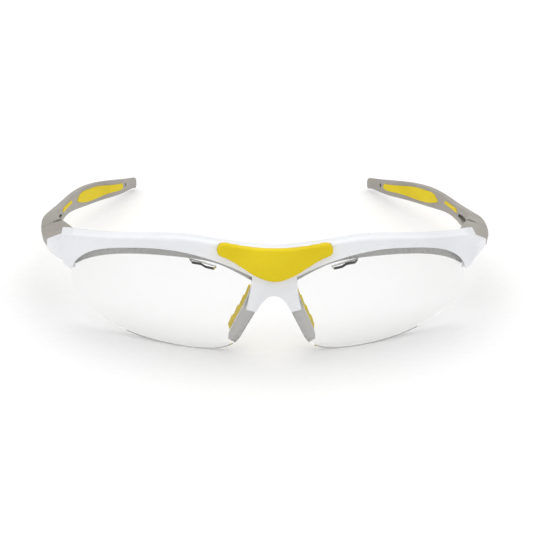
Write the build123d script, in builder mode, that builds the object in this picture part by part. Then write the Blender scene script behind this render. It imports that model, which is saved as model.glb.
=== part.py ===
from build123d import *

# Sports protective goggles: half-rim frame, two clear lenses, soft brow and nose pads, folding temples.
#
# The goggles stand on a table on the lenses' lower edges and the temple tips, facing -Y.
# Left and right are the wearer's: left is +X. One side is modelled, and mirrored in the YZ plane.
# While modelling, y is counted from the foremost point of the lens ball; at the end everything is
# moved so that the origin is the middle of the overall box's base.

import math
import os

# ---- driving dimensions, in mm ----
BALL_RADIUS = 90.0  # outer face of both lenses, one common ball
BALL_HEIGHT = 30.0  # height of the ball's centre over the table
LENS_THICKNESS = 2.0
RIM_THICKNESS = 1.4  # rear rims and nose carrier, behind the lens
FRAME_LIP = 1.8  # white frame in front of the lens
FRAME_ROUNDING = 1.4  # along the top of the bar, front and back
PAD_THICKNESS = 2.6  # brow pad, in front of the frame
PAD_SEAT = 0.8  # depth of the brow pad's seat in the frame
NOSE_PAD_DEPTH = 4.0  # nose pads, behind the carrier
NOSE_PAD_FLARE = 0.12  # how far a pad leans outwards, per mm rearwards
NOSE_PAD_REACH = (4.0, 24.0)  # y over which a pad is lofted, before it is trimmed to its depth

# side rail joints
FRAME_JOINT = (71.4, 36.2, 25.6)  # outer crease, where the frame meets the end block
JOINT_SLANT = 8.0  # degrees, both cuts across the rail, from the X axis
FRAME_JOINT_LEAN = -25.0  # degrees, the frame reaches rearwards under the end block
HINGE_PIN = (68.4, 50.3, 21.8)
HINGE_TILT = 11.0  # degrees, leaning back, square to the drooping temple
HINGE_GAP = 0.3
BARREL_RADIUS = 1.9
BARREL_CLEARANCE_RADIUS = 2.4
BARREL_TOP = 4.2  # from the hinge's middle, along the pin
BARREL_BOTTOM = -3.9
TONGUE_HEIGHT = 3.6
TONGUE_CLEARANCE = 0.15
PIN_RADIUS = 0.8
PIN_CLEARANCE = 0.05
PIN_HEAD_RADIUS = 1.3
PIN_HEAD_HEIGHT = 0.8

BLOCK_SCREW_HEAD = (72.2, 49.0, 21.6)
BLOCK_SCREW_TIP = (67.4, 34.0, 24.4)
BLOCK_SCREW_RADIUS = 0.7
BLOCK_SCREW_HEAD_RADIUS = 1.2
BLOCK_SCREW_HEAD_HEIGHT = 1.0

EYELET_RADIUS = 0.75  # cord hole in the temple tip
EYELET = (51.8, 145.4, 6.1)
TIP_END = 156.4  # y of the temple's rounded end
TIP_HEIGHT = 6.2
TIP_TOE_IN = 19.5  # degrees, how far the rear of the temple turns towards the head

# front view outlines, (x, z)
LENS_TOP = [(4.6, 27.0), (14.0, 33.2), (31.0, 36.4), (48.0, 33.8), (60.0, 27.4), (62.3, 21.3)]
LENS_EDGE = [(62.3, 21.3), (61.7, 11.5), (53.5, 4.8), (40.0, 1.0), (28.0, 0.1)]
LENS_NOSE = [(28.0, 0.1), (19.5, 0.5), (12.0, 3.3), (8.3, 9.8), (5.2, 16.7), (4.6, 27.0)]
VENT = [(17.4, 30.3), (22.5, 31.5), (25.6, 31.9), (24.8, 30.8), (22.2, 30.6), (20.8, 29.8), (18.3, 29.4)]
RIM_LOW = [(6.2, 25.6), (11.0, 28.3), (17.4, 31.0), (26.0, 31.9), (39.5, 31.0), (51.5, 27.8), (61.0, 21.6)]
FRAME_LOW = [(6.7, 28.4), (16.0, 32.4), (31.0, 35.0), (44.5, 33.5), (57.5, 28.3), (61.8, 23.4)]
FRAME_TOP = [(0.0, 37.4), (9.0, 38.1), (18.0, 38.8), (25.5, 39.3), (38.0, 38.0), (50.5, 35.6), (62.0, 33.0)]
FRAME_END = [(62.0, 33.0), (66.0, 31.0), (66.8, 24.4), (65.2, 21.4), (62.8, 20.5), (61.8, 23.4)]
FRAME_LEG = [(6.7, 28.4), (7.2, 23.0), (8.4, 17.2), (5.4, 16.5)]
FRAME_ARCH = [(5.4, 16.5), (4.0, 19.2), (2.2, 21.3), (0.0, 22.1)]
BROW_PAD_TOP = [(0.0, 37.7), (6.6, 38.0), (14.4, 39.0)]
BROW_PAD_END = [(14.4, 39.0), (16.9, 38.3), (17.5, 36.6), (16.8, 35.2)]
BROW_PAD_LOW = [(16.8, 35.2), (10.5, 32.2), (4.6, 28.6), (0.0, 27.3)]
CARRIER_OUTER = [(6.4, 27.0), (7.2, 22.6), (9.8, 15.5), (13.4, 6.2)]
CARRIER_FOOT = [(13.4, 6.2), (13.4, 4.6), (11.6, 3.5), (10.4, 4.4)]
CARRIER_INNER = [(10.4, 4.4), (6.9, 12.3), (4.0, 19.0), (0.0, 21.5)]
NOSE_PAD_INNER = [(5.2, 21.6), (8.6, 14.4), (11.2, 7.4)]
NOSE_PAD_STEPS = [
    (12.7, 7.2),
    (11.7, 11.0),
    (11.2, 11.2),
    (10.1, 14.8),
    (9.6, 15.0),
    (8.5, 18.6),
    (8.1, 18.7),
    (6.9, 22.6),
]

# side rail, one station per row: y, x inside, x outside, z of the inner top edge, of the outer top
# crease and of the outer lower crease, x of the outer bottom edge, z of the underside
RAIL = [
    (25.0, 60.0, 64.8, 32.0, 30.6, 26.6, 63.2, 20.7),
    (34.0, 61.8, 70.4, 30.3, 26.6, 23.6, 68.0, 20.3),
    (41.0, 63.8, 73.1, 29.0, 25.4, 22.9, 70.4, 18.9),
    (50.0, 66.9, 74.6, 27.4, 24.7, 22.0, 72.2, 17.3),
    (60.0, 69.3, 75.2, 25.0, 23.8, 19.8, 73.4, 15.9),
    (70.0, 70.6, 75.0, 22.8, 21.9, 17.6, 73.8, 15.2),
    (80.0, 70.4, 73.8, 20.6, 20.2, 16.0, 72.8, 14.6),
    (92.0, 68.6, 71.4, 19.0, 18.9, 14.9, 70.4, 13.7),
    (104.0, 65.9, 68.5, 18.0, 18.0, 12.4, 67.6, 11.2),
    (116.0, 61.9, 64.4, 16.4, 16.4, 9.9, 63.5, 8.7),
    (130.0, 56.3, 58.8, 13.0, 13.0, 7.1, 57.9, 5.9),
    (144.0, 51.0, 53.5, 8.8, 8.8, 4.3, 52.6, 3.1),
    (158.0, 46.2, 48.7, 4.7, 4.7, 0.9, 47.8, -0.4),
]
RAIL_CORNER = 0.6

# side view outlines on the temple, (y, z)
TIP_GRIP_TOP = [(101.8, 14.9), (105.5, 16.5), (111.5, 15.9), (118.5, 14.6), (126.0, 12.5), (141.6, 7.9)]
TIP_GRIP_LOW = [(141.6, 7.9), (142.2, 6.6), (134.5, 6.9), (118.0, 9.9), (106.0, 12.9), (101.8, 14.9)]
SIDE_GRIP = [(82.6, 17.7), (83.2, 19.0), (95.0, 17.7), (95.6, 16.5)]
POCKET = [(58.0, 18.2), (58.6, 22.6), (70.0, 20.4), (80.5, 18.2), (81.4, 16.9), (70.0, 17.3)]
POCKET_WALL = 1.7
GRIP_PROUD = 0.25

REACH = 80.0  # half depth of the front view prisms
BALL_CENTRE = (0, BALL_RADIUS, BALL_HEIGHT)
LENS_BACK = BALL_RADIUS - LENS_THICKNESS
RIM_BACK = LENS_BACK - RIM_THICKNESS
FRAME_FRONT = BALL_RADIUS + FRAME_LIP
PAD_BACK = FRAME_FRONT - PAD_SEAT
PAD_FRONT = FRAME_FRONT + PAD_THICKNESS - PAD_SEAT


def prism(plane, depth, *curves):
    """A bar square to the plane over a closed outline, each curve starting where the last one ends."""
    with BuildPart() as bar:
        with BuildSketch(plane):
            with BuildLine():
                for points, kind in curves:
                    if kind == "straight":
                        Polyline(*points)
                    elif kind == "level":
                        first = Vector(*points[1]) - Vector(*points[0])
                        Spline(*points, tangents=[first, (-1, 0)])
                    else:
                        Spline(*points)
            make_face()
        extrude(amount=depth, both=True)
    return bar.part


def front_view(*curves):
    return prism(Plane.XZ, REACH, *curves)


def side_view(*curves):
    return prism(Plane.YZ, REACH, *curves)


def smooth(points):
    return (points, "smooth")


def level(points):
    """A smooth curve that ends level at the middle plane, where its mirror image joins it."""
    return (points, "level")


def straight(points):
    return (points, "straight")


def shell(inner, outer):
    """The space between two balls around the lenses' common centre."""
    with BuildPart() as space:
        with Locations(BALL_CENTRE):
            Sphere(outer)
            Sphere(inner, mode=Mode.SUBTRACT)
    return space.part


def rail(grown=0.0):
    """The side member that the frame's end, the end block and the temple are all cut from."""
    with BuildPart() as member:
        for y, x_in, x_out, z_in, z_out, z_low, x_low, z_base in RAIL:
            corners = [
                (x_in - grown, z_in),
                (x_out + grown, z_out),
                (x_out + grown - 0.3, z_low),
                (x_low + grown, z_base),
                (x_in - grown, z_base),
            ]
            with BuildSketch(Plane.XZ.offset(-y)) as section:
                with BuildLine():
                    Polyline(*corners, close=True)
                make_face()
                fillet(section.vertices(), RAIL_CORNER)
        loft()
    return member.part


def hinge_plane(height=0.0):
    """Square to the hinge pin, height above the middle of the hinge."""
    tilt = math.radians(HINGE_TILT)
    pin_axis = (0, math.sin(tilt), math.cos(tilt))
    return Plane(origin=HINGE_PIN, x_dir=(1, 0, 0), z_dir=pin_axis).offset(height)


def beyond(point, gap, lean, rearward):
    """All that lies behind, or in front of, a cut across the rail, set back from the cut by gap."""
    slant = math.radians(JOINT_SLANT)
    tilt = math.radians(lean)
    level_y = Vector(0, math.cos(tilt), -math.sin(tilt))
    along = Vector(1, 0, 0) * math.sin(slant) + level_y * math.cos(slant)
    face = Plane(origin=point, z_dir=along if rearward else -along)
    with BuildPart() as block:
        with BuildSketch(face.offset(gap)):
            Rectangle(150, 150)
        extrude(amount=170)
    return block.part


def pin_cylinder(radius, bottom, top):
    """A cylinder around the hinge pin's axis, between two heights from the hinge's middle."""
    with BuildPart() as cylinder:
        with BuildSketch(hinge_plane(bottom)):
            Circle(radius)
        extrude(amount=top - bottom)
    return cylinder.part


def block_screw_shape():
    """Head and shank on one line from the hinge face of the end block forwards into the frame."""
    line = Vector(*BLOCK_SCREW_TIP) - Vector(*BLOCK_SCREW_HEAD)
    seat = Plane(origin=BLOCK_SCREW_HEAD, z_dir=line)
    with BuildPart() as screw:
        with BuildSketch(seat):
            Circle(BLOCK_SCREW_RADIUS)
        extrude(amount=line.length)
        with BuildSketch(seat):
            Circle(BLOCK_SCREW_HEAD_RADIUS)
        extrude(amount=BLOCK_SCREW_HEAD_HEIGHT)
    return screw.part


def mirrored(part):
    return mirror(part, about=Plane.YZ)


# ---- shared solids ----
side_member = rail()
screw_hole = block_screw_shape()
tongue = (-TONGUE_HEIGHT / 2, TONGUE_HEIGHT / 2)
slot = (tongue[0] - TONGUE_CLEARANCE, tongue[1] + TONGUE_CLEARANCE)
lens_bar = front_view(smooth(LENS_TOP), smooth(LENS_EDGE), smooth(LENS_NOSE))
vent_bar = front_view(straight([*VENT, VENT[0]]))
lens_space = shell(LENS_BACK, BALL_RADIUS)
rim_space = shell(RIM_BACK, LENS_BACK)
brow_bar = front_view(
    level(BROW_PAD_TOP[::-1]),
    smooth(BROW_PAD_END),
    smooth(BROW_PAD_LOW),
    straight([BROW_PAD_LOW[-1], BROW_PAD_TOP[0]]),
)
carrier_bar = front_view(
    smooth(CARRIER_OUTER),
    straight(CARRIER_FOOT),
    level(CARRIER_INNER),
    straight([CARRIER_INNER[-1], (0.0, 27.0), CARRIER_OUTER[0]]),
)

# ---- lens ----
with BuildPart() as lens:
    add(lens_bar)
    add(lens_space, mode=Mode.INTERSECT)
    add(vent_bar, mode=Mode.SUBTRACT)

# ---- rear rim, a band behind the top of the lens ----
above_rim = [RIM_LOW[-1], (64.0, 21.6), (64.0, 40.0), (6.2, 40.0), RIM_LOW[0]]
rim_bar = front_view(smooth(RIM_LOW), straight(above_rim))
with BuildPart() as rim:
    add(rim_bar)
    add(lens_bar, mode=Mode.INTERSECT)
    add(rim_space, mode=Mode.INTERSECT)
    add(carrier_bar, mode=Mode.SUBTRACT)
    add(vent_bar, mode=Mode.SUBTRACT)

# ---- nose carrier, behind the lenses across the nose ----
with BuildPart() as carrier:
    add(carrier_bar)
    add(rim_space, mode=Mode.INTERSECT)
    mirror(about=Plane.YZ)

# ---- front frame: bar over the lenses, bridge with two short legs, and the rails' front ends ----
frame_bar = front_view(
    smooth(FRAME_TOP),
    straight(FRAME_END),
    smooth(FRAME_LOW[::-1]),
    straight(FRAME_LEG),
    level(FRAME_ARCH),
    straight([FRAME_ARCH[-1], FRAME_TOP[0]]),
)
rail_front = beyond(FRAME_JOINT, 0.0, FRAME_JOINT_LEAN, rearward=False)
with BuildPart() as frame_end:
    add(side_member)
    add(rail_front, mode=Mode.INTERSECT)
with BuildPart() as lens_ball:
    with Locations(BALL_CENTRE):
        Sphere(BALL_RADIUS)
with BuildPart() as frame:
    add(frame_bar)
    add(shell(RIM_BACK, FRAME_FRONT), mode=Mode.INTERSECT)
    long_edges = frame.edges().filter_by(lambda edge: edge.length > 40)
    fillet(long_edges.sort_by(Axis.Z)[-2:], FRAME_ROUNDING)
    add(rail_front, mode=Mode.INTERSECT)
    add(frame_end.part)
    add(lens_bar & lens_ball.part, mode=Mode.SUBTRACT)
    add(carrier.part, mode=Mode.SUBTRACT)
    add(brow_bar & shell(PAD_BACK, PAD_FRONT + 1), mode=Mode.SUBTRACT)
    add(screw_hole, mode=Mode.SUBTRACT)
    mirror(about=Plane.YZ)

# ---- brow pad ----
with BuildPart() as brow_pad:
    add(brow_bar)
    add(shell(PAD_BACK, PAD_FRONT), mode=Mode.INTERSECT)
    mirror(about=Plane.YZ)

# ---- nose pad: a flared, grooved cushion behind each leg of the carrier ----
with BuildPart() as nose_pad:
    for y in NOSE_PAD_REACH:
        lean = (y - NOSE_PAD_REACH[0]) * NOSE_PAD_FLARE
        inner = [(x + lean, z) for x, z in NOSE_PAD_INNER]
        outer = [(x + lean, z) for x, z in NOSE_PAD_STEPS]
        with BuildSketch(Plane.XZ.offset(-y)):
            with BuildLine():
                Spline(*inner)
                Polyline(*outer)
                Line(inner[-1], outer[0])
                Line(outer[-1], inner[0])
            make_face()
    loft()
    add(shell(RIM_BACK - NOSE_PAD_DEPTH, RIM_BACK), mode=Mode.INTERSECT)

# ---- end block: between the frame and the hinge, with the hinge's outer knuckles ----
with BuildPart() as end_block:
    add(side_member)
    add(beyond(FRAME_JOINT, 0.0, FRAME_JOINT_LEAN, rearward=True), mode=Mode.INTERSECT)
    add(beyond(HINGE_PIN, HINGE_GAP / 2, HINGE_TILT, rearward=False), mode=Mode.INTERSECT)
    add(pin_cylinder(BARREL_RADIUS, BARREL_BOTTOM, BARREL_TOP))
    add(pin_cylinder(BARREL_CLEARANCE_RADIUS, *slot), mode=Mode.SUBTRACT)
    add(pin_cylinder(PIN_RADIUS, BARREL_BOTTOM, BARREL_TOP), mode=Mode.SUBTRACT)
    add(pin_cylinder(PIN_HEAD_RADIUS, BARREL_TOP - PIN_HEAD_HEIGHT, BARREL_TOP + 3), mode=Mode.SUBTRACT)
    add(screw_hole, mode=Mode.SUBTRACT)

with BuildPart() as block_screw:
    add(screw_hole)

with BuildPart() as hinge_screw:
    add(pin_cylinder(PIN_RADIUS, BARREL_BOTTOM, BARREL_TOP))
    add(pin_cylinder(PIN_HEAD_RADIUS, BARREL_TOP - PIN_HEAD_HEIGHT, BARREL_TOP))

# ---- temple, with a cored inner side, two slots for the grips and a cord eyelet ----
tip_grip_bar = side_view(smooth(TIP_GRIP_TOP), smooth(TIP_GRIP_LOW))
side_grip_bar = side_view(straight([*SIDE_GRIP, SIDE_GRIP[0]]))
pocket_bar = side_view(straight([*POCKET, POCKET[0]]))
inner_member = side_member.moved(Location((-POCKET_WALL, 0, 0)))
toe_in = math.radians(TIP_TOE_IN)
with BuildPart() as tip_end:
    with BuildSketch(Plane.YZ):
        with BuildLine():
            front_y = HINGE_PIN[1] - 10
            round_y = TIP_END - TIP_HEIGHT / 2
            Polyline((round_y, TIP_HEIGHT), (round_y, 60), (front_y, 60))
            Polyline((front_y, 60), (front_y, -10), (round_y, -10), (round_y, 0))
            ThreePointArc((round_y, 0), (TIP_END, TIP_HEIGHT / 2), (round_y, TIP_HEIGHT))
        make_face()
    extrude(amount=REACH, both=True)
with BuildPart() as temple:
    add(side_member)
    add(tip_end.part, mode=Mode.INTERSECT)
    add(beyond(HINGE_PIN, HINGE_GAP / 2, HINGE_TILT, rearward=True), mode=Mode.INTERSECT)
    add(pin_cylinder(BARREL_CLEARANCE_RADIUS, tongue[1], 20), mode=Mode.SUBTRACT)
    add(pin_cylinder(BARREL_CLEARANCE_RADIUS, -20, tongue[0]), mode=Mode.SUBTRACT)
    add(pin_cylinder(BARREL_RADIUS, *tongue))
    add(pin_cylinder(PIN_RADIUS + PIN_CLEARANCE, *tongue), mode=Mode.SUBTRACT)
    add(pocket_bar & inner_member, mode=Mode.SUBTRACT)
    add(side_grip_bar, mode=Mode.SUBTRACT)
    add(tip_grip_bar, mode=Mode.SUBTRACT)
    with BuildSketch(Plane(origin=EYELET, z_dir=(math.cos(toe_in), math.sin(toe_in), 0))):
        Circle(EYELET_RADIUS)
    extrude(amount=6, both=True, mode=Mode.SUBTRACT)

proud_member = rail(grown=GRIP_PROUD)
with BuildPart() as tip_grip:
    add(tip_grip_bar)
    add(proud_member, mode=Mode.INTERSECT)

with BuildPart() as side_grip:
    add(side_grip_bar)
    add(proud_member, mode=Mode.INTERSECT)

# ---- move to the final frame, mirror and write ----
single = {"front_frame": frame, "brow_pad": brow_pad, "nose_carrier": carrier}
paired = {
    "lens": lens,
    "rear_rim": rim,
    "nose_pad": nose_pad,
    "end_block": end_block,
    "block_screw": block_screw,
    "hinge_screw": hinge_screw,
    "temple": temple,
    "tip_grip": tip_grip,
    "side_grip": side_grip,
}
pieces = {name: made.part for name, made in single.items()}
for name, made in paired.items():
    pieces[name + "_left"] = made.part
    pieces[name + "_right"] = mirrored(made.part)

boxes = [piece.bounding_box() for piece in pieces.values()]
front_y = min(box.min.Y for box in boxes)
rear_y = max(box.max.Y for box in boxes)
base_z = min(box.min.Z for box in boxes)
to_origin = Location((0, -(front_y + rear_y) / 2, -base_z))

os.makedirs("parts", exist_ok=True)
for name, piece in pieces.items():
    placed = piece.moved(to_origin)
    placed.label = name
    export_step(placed, f"parts/{name}.step")

for name, point in {"hinge pin": HINGE_PIN, "eyelet": EYELET}.items():
    print(name, Vector(*point) + to_origin.position)
print("hinge axis", hinge_plane().z_dir)
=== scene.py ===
"""Looks for the sports protective goggles: clear lenses, white frame, grey temples, yellow rubber pads."""

import math

import bpy
from mathutils import Matrix, Vector


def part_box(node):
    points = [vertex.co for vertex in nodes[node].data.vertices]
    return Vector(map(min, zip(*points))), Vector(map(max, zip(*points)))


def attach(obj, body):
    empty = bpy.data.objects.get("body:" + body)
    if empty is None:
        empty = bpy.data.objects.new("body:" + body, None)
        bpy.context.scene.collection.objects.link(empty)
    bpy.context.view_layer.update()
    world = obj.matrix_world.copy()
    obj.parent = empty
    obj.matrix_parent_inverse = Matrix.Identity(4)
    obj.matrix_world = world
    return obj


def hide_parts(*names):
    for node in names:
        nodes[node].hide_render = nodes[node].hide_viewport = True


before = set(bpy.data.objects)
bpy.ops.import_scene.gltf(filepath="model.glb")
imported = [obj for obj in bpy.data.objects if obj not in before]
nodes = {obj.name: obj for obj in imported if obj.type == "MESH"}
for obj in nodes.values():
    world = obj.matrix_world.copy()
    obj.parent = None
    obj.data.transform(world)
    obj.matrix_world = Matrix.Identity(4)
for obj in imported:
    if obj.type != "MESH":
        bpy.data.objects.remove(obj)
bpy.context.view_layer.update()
SIDES = ("left", "right")
SMOOTH_PIECES = ("lens", "brow_pad", "front_frame", "nose", "rear_rim", "tip_grip", "temple", "end_block")
SHARP_ANGLE = math.radians(32)
BROW_VOXEL = 0.0004
NOSE_VOXEL = 0.00025
FLOOR_HALF = 3.0


# ---- material helpers ----
def new_material(name):
    material = bpy.data.materials.new(name)
    material.use_nodes = True
    tree = material.node_tree
    return material, tree.nodes, tree.links, tree.nodes["Principled BSDF"]


def noise(nodes_, links, scale, detail=3.0, stretch=(1, 1, 1)):
    """Noise in metres of the object, so its scale is in features per metre."""
    coords = nodes_.new("ShaderNodeTexCoord")
    mapping = nodes_.new("ShaderNodeMapping")
    mapping.inputs["Scale"].default_value = stretch
    texture = nodes_.new("ShaderNodeTexNoise")
    texture.inputs["Scale"].default_value = scale
    texture.inputs["Detail"].default_value = detail
    links.new(coords.outputs["Object"], mapping.inputs["Vector"])
    links.new(mapping.outputs["Vector"], texture.inputs["Vector"])
    return texture


def ramp(nodes_, links, source, stops):
    """Maps a factor through colour stops, each (position, (r, g, b))."""
    node = nodes_.new("ShaderNodeValToRGB")
    elements = node.color_ramp.elements
    while len(elements) < len(stops):
        elements.new(0.5)
    for element, (position, colour) in zip(elements, stops):
        element.position = position
        element.color = (*colour, 1.0)
    links.new(source, node.inputs["Fac"])
    return node


def bump(nodes_, links, shader, height, strength, distance):
    node = nodes_.new("ShaderNodeBump")
    node.inputs["Strength"].default_value = strength
    node.inputs["Distance"].default_value = distance
    links.new(height, node.inputs["Height"])
    links.new(node.outputs["Normal"], shader.inputs["Normal"])


def moulded(name, dark, light, rough, grain, strength, specular=0.5, coat=0.0):
    """Moulded plastic or rubber: slow colour drift, fine grain in bump, slightly uneven roughness."""
    material, n, links, shader = new_material(name)
    drift = noise(n, links, 55.0, 2.0)
    tint = ramp(n, links, drift.outputs["Fac"], [(0.35, dark), (0.65, light)])
    links.new(tint.outputs["Color"], shader.inputs["Base Color"])
    wear = noise(n, links, 260.0, 4.0)
    gloss = n.new("ShaderNodeMapRange")
    gloss.inputs["To Min"].default_value = rough[0]
    gloss.inputs["To Max"].default_value = rough[1]
    links.new(wear.outputs["Fac"], gloss.inputs["Value"])
    links.new(gloss.outputs["Result"], shader.inputs["Roughness"])
    fine = noise(n, links, grain, 2.0)
    bump(n, links, shader, fine.outputs["Fac"], strength, 0.0002)
    shader.inputs["Specular IOR Level"].default_value = specular
    shader.inputs["Coat Weight"].default_value = coat
    shader.inputs["Coat Roughness"].default_value = 0.12
    return material


LENS_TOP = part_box("lens_left")[1].z
# Lens colour by height: a faint grey overall, with painted shade darkening the top band under the brow bar,
# and a little darker towards the bottom.
LENS_TINT_AND_PAINTED_SHADE = [(0.0, (0.955, 0.957, 0.95)), (0.3, (0.975, 0.977, 0.976)), (0.9, (0.885, 0.888, 0.89))]


def lens_material():
    """Clear polycarbonate: a trace of grey, with painted shade making it darkest along the top and a little
    darker towards the bottom, faint hairlines in its gloss.
    """
    material, n, links, shader = new_material("clear_polycarbonate")
    shader.inputs["Transmission Weight"].default_value = 1.0
    shader.inputs["IOR"].default_value = 1.38
    shader.inputs["Specular IOR Level"].default_value = 0.5
    coords = n.new("ShaderNodeTexCoord")
    split = n.new("ShaderNodeSeparateXYZ")
    height = n.new("ShaderNodeMapRange")
    height.inputs["From Min"].default_value = 0.0
    height.inputs["From Max"].default_value = LENS_TOP
    links.new(coords.outputs["Object"], split.inputs["Vector"])
    links.new(split.outputs["Z"], height.inputs["Value"])
    # Base colour from height: painted shade darkens the lens along its top.
    tint = ramp(n, links, height.outputs["Result"], LENS_TINT_AND_PAINTED_SHADE)
    links.new(tint.outputs["Color"], shader.inputs["Base Color"])
    hair = noise(n, links, 900.0, 2.0, (1, 1, 0.08))
    gloss = n.new("ShaderNodeMapRange")
    gloss.inputs["From Min"].default_value = 0.55
    gloss.inputs["From Max"].default_value = 0.9
    gloss.inputs["To Min"].default_value = 0.0
    gloss.inputs["To Max"].default_value = 0.05
    links.new(hair.outputs["Fac"], gloss.inputs["Value"])
    links.new(gloss.outputs["Result"], shader.inputs["Roughness"])
    return material


def steel_material():
    material, n, links, shader = new_material("screw_steel")
    shader.inputs["Metallic"].default_value = 1.0
    turned = noise(n, links, 2400.0, 2.0, (1, 1, 0.1))
    tint = ramp(n, links, turned.outputs["Fac"], [(0.3, (0.42, 0.42, 0.43)), (0.7, (0.62, 0.62, 0.63))])
    links.new(tint.outputs["Color"], shader.inputs["Base Color"])
    gloss = n.new("ShaderNodeMapRange")
    gloss.inputs["To Min"].default_value = 0.22
    gloss.inputs["To Max"].default_value = 0.42
    links.new(turned.outputs["Fac"], gloss.inputs["Value"])
    links.new(gloss.outputs["Result"], shader.inputs["Roughness"])
    bump(n, links, shader, turned.outputs["Fac"], 0.15, 0.0001)
    return material


WHITE = moulded(
    "white_gloss_plastic", (0.80, 0.81, 0.84), (0.86, 0.87, 0.89), (0.24, 0.34), 2600.0, 0.05, 0.5, 0.35
)
GREY = moulded(
    "grey_satin_plastic", (0.31, 0.285, 0.255), (0.37, 0.345, 0.315), (0.36, 0.50), 3200.0, 0.18, 0.45
)
RIM = moulded("light_grey_rim", (0.76, 0.75, 0.725), (0.81, 0.80, 0.78), (0.38, 0.52), 3000.0, 0.12, 0.45)
YELLOW = moulded("yellow_rubber", (0.74, 0.56, 0.004), (0.82, 0.64, 0.008), (0.58, 0.74), 2200.0, 0.35, 0.30)
LENS = lens_material()
STEEL = steel_material()

FINISH = {
    "front_frame": WHITE,
    "brow_pad": YELLOW,
    "nose_carrier": RIM,
    "lens": LENS,
    "rear_rim": RIM,
    "nose_pad": YELLOW,
    "end_block": GREY,
    "block_screw": STEEL,
    "hinge_screw": STEEL,
    "temple": GREY,
    "tip_grip": YELLOW,
    "side_grip": YELLOW,
}


def finish_of(name):
    for side in SIDES:
        name = name.removesuffix("_" + side)
    return FINISH[name]


def softened(name, voxel, rounds):
    """A moulded soft piece in place of its CAD solid: the same body, its edges rounded off."""
    cad = nodes[name]
    piece = bpy.data.objects.new(name + "_cushion", cad.data.copy())
    bpy.context.scene.collection.objects.link(piece)
    remesh = piece.modifiers.new("even", "REMESH")
    remesh.mode = "VOXEL"
    remesh.voxel_size = voxel
    rounding = piece.modifiers.new("rounding", "SMOOTH")
    rounding.factor = 0.5
    rounding.iterations = rounds
    evaluated = piece.evaluated_get(bpy.context.evaluated_depsgraph_get())
    mesh = bpy.data.meshes.new_from_object(evaluated)
    piece.modifiers.clear()
    piece.data = mesh
    mesh.materials.clear()
    mesh.materials.append(YELLOW)
    for polygon in mesh.polygons:
        polygon.use_smooth = True
    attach(piece, "front")
    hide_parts(name)


for name, obj in nodes.items():
    obj.data.materials.clear()
    obj.data.materials.append(finish_of(name))
    if name.startswith(SMOOTH_PIECES):
        for polygon in obj.data.polygons:
            polygon.use_smooth = True
        obj.data.set_sharp_from_angle(angle=SHARP_ANGLE)

softened("brow_pad", BROW_VOXEL, 12)
for side in SIDES:
    softened("nose_pad_" + side, NOSE_VOXEL, 4)

# ---- floor, lights, camera ----
floor_mesh = bpy.data.meshes.new("floor")
signs = [(-1, -1), (1, -1), (1, 1), (-1, 1)]
corners = [(x * FLOOR_HALF, y * FLOOR_HALF, 0) for x, y in signs]
floor_mesh.from_pydata(corners, [], [(0, 1, 2, 3)])
floor = bpy.data.objects.new("floor", floor_mesh)
bpy.context.scene.collection.objects.link(floor)
floor_paint, n, links, shader = new_material("floor_paper")
paper = noise(n, links, 400.0, 2.0)
paper_tint = ramp(n, links, paper.outputs["Fac"], [(0.3, (0.93, 0.93, 0.93)), (0.7, (0.95, 0.95, 0.95))])
links.new(paper_tint.outputs["Color"], shader.inputs["Base Color"])
shader.inputs["Roughness"].default_value = 0.9
shader.inputs["Specular IOR Level"].default_value = 0.1
floor_mesh.materials.append(floor_paint)

world = bpy.data.worlds.new("studio")
bpy.context.scene.world = world
world.use_nodes = True
sky_nodes, sky_links = world.node_tree.nodes, world.node_tree.links
direction = sky_nodes.new("ShaderNodeTexCoord")
height = sky_nodes.new("ShaderNodeSeparateXYZ")
brightness = sky_nodes.new("ShaderNodeMapRange")
brightness.inputs["From Min"].default_value = 0.0
brightness.inputs["From Max"].default_value = 1.0
brightness.inputs["To Min"].default_value = 0.30
brightness.inputs["To Max"].default_value = 1.38
sky_links.new(direction.outputs["Generated"], height.inputs["Vector"])
sky_links.new(height.outputs["Z"], brightness.inputs["Value"])
sky_links.new(brightness.outputs["Result"], sky_nodes["Background"].inputs["Strength"])
sky_nodes["Background"].inputs["Color"].default_value = (1, 1, 1, 1)


def area_light(name, place, aim, width, power):
    data = bpy.data.lights.new(name, "AREA")
    data.shape = "SQUARE"
    data.size = width
    data.energy = power
    light = bpy.data.objects.new(name, data)
    light.location = place
    light.rotation_euler = (Vector(aim) - Vector(place)).to_track_quat("-Z", "Y").to_euler()
    bpy.context.scene.collection.objects.link(light)


area_light("top_softbox", (0.0, 0.05, 0.70), (0, 0, 0), 0.60, 0.6)
area_light("front_left_softbox", (-0.45, -0.55, 0.45), (0, 0, 0.02), 0.45, 0.25)
area_light("front_right_softbox", (0.50, -0.45, 0.40), (0, 0, 0.02), 0.45, 0.12)

AZIMUTH = math.radians(-3.289)
ELEVATION = math.radians(22.517)
ROLL = math.radians(1.197)
DISTANCE = 0.51005
TARGET = Vector((0.00069, -0.0214, 0.00836))
back = Vector((
    math.sin(AZIMUTH) * math.cos(ELEVATION),
    -math.cos(AZIMUTH) * math.cos(ELEVATION),
    math.sin(ELEVATION),
))
level_right = Vector((math.cos(AZIMUTH), math.sin(AZIMUTH), 0))
level_up = back.cross(level_right)
right = level_right * math.cos(ROLL) + level_up * math.sin(ROLL)
up = level_up * math.cos(ROLL) - level_right * math.sin(ROLL)
camera_data = bpy.data.cameras.new("camera")
camera_data.sensor_width = 36.0
camera_data.lens = 101.09
camera = bpy.data.objects.new("camera", camera_data)
turned = Matrix((right, up, back)).transposed().to_4x4()
camera.matrix_world = Matrix.Translation(TARGET + back * DISTANCE) @ turned
bpy.context.scene.collection.objects.link(camera)
bpy.context.scene.camera = camera
bpy.context.scene.view_settings.view_transform = "Standard"
